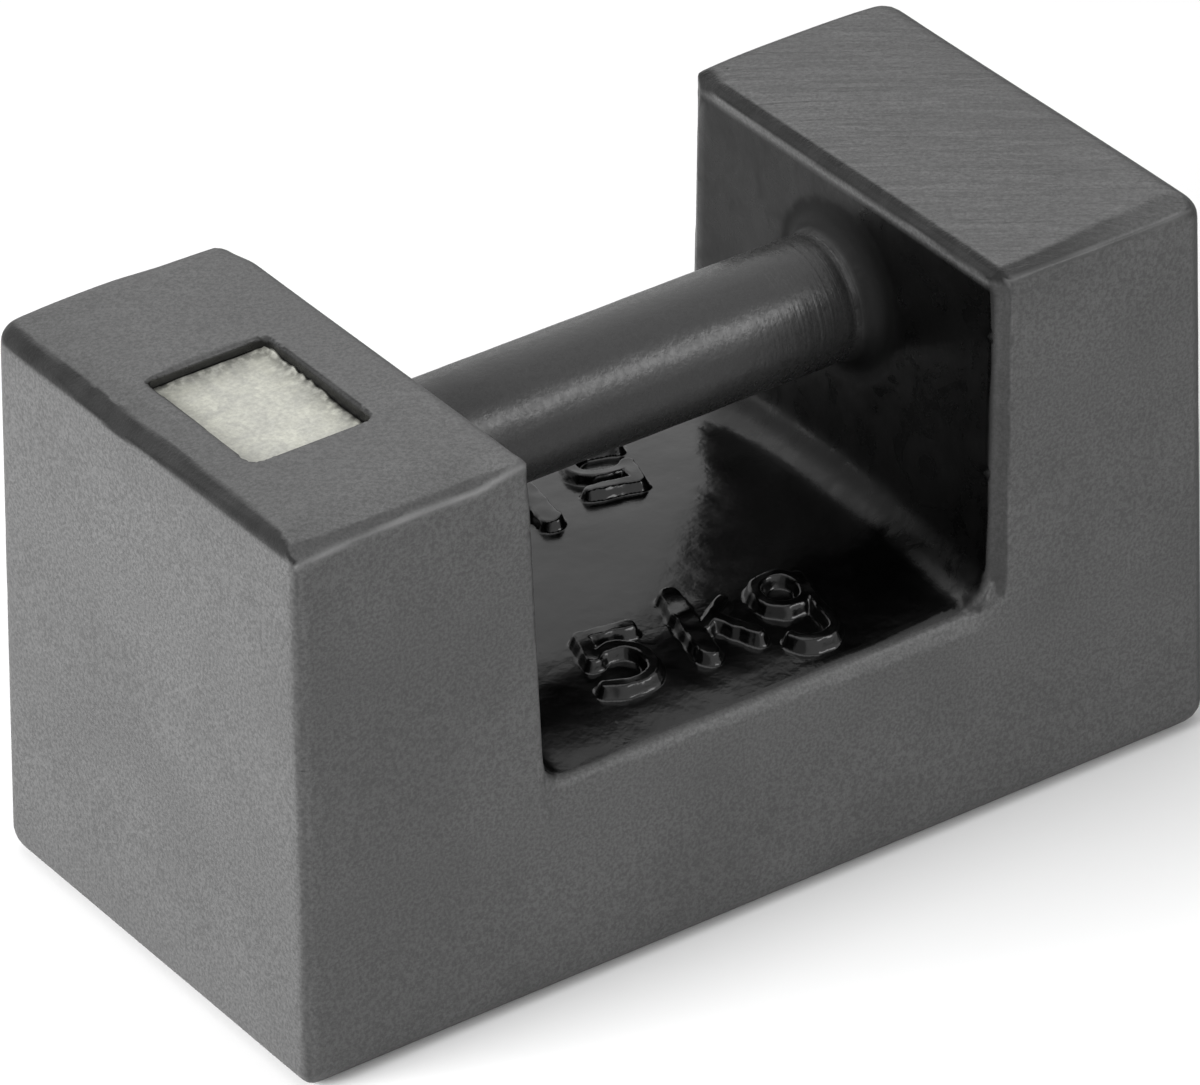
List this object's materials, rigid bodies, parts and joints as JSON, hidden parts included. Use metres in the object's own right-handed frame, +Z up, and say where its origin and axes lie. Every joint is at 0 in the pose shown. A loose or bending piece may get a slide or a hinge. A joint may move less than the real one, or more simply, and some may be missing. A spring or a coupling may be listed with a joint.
{
  "type": "calibration weight",
  "caption": "Cast-iron bar weight: a rectangular block with two uprights joined by a round hand grip, and a sealed adjusting cavity in one upright.",
  "frame": {"origin": "on the foot, at the centre of the block's footprint", "axes": "+X along the hand grip, from the upright with the adjusting cavity towards the plain upright; +Z up, out of the open top; the nominal value is read from the -Y side"},
  "size_m": [0.153, 0.0746, 0.0857],
  "materials": {
    "body_enamel": "thin dark grey enamel over ground and as-cast grey iron, satin outside and glossy in the hand gap",
    "soft_seal": "soft bare metal, hammered and slightly tarnished",
    "plate_steel": "bare mild steel",
    "dull_shot": "dull grey packed shot"
  },
  "bodies": {
    "root": {"cast_body": "body_enamel", "seal_plug": "soft_seal", "closing_plate": "plate_steel", "adjusting_shot": "dull_shot"}
  },
  "joints": []
}
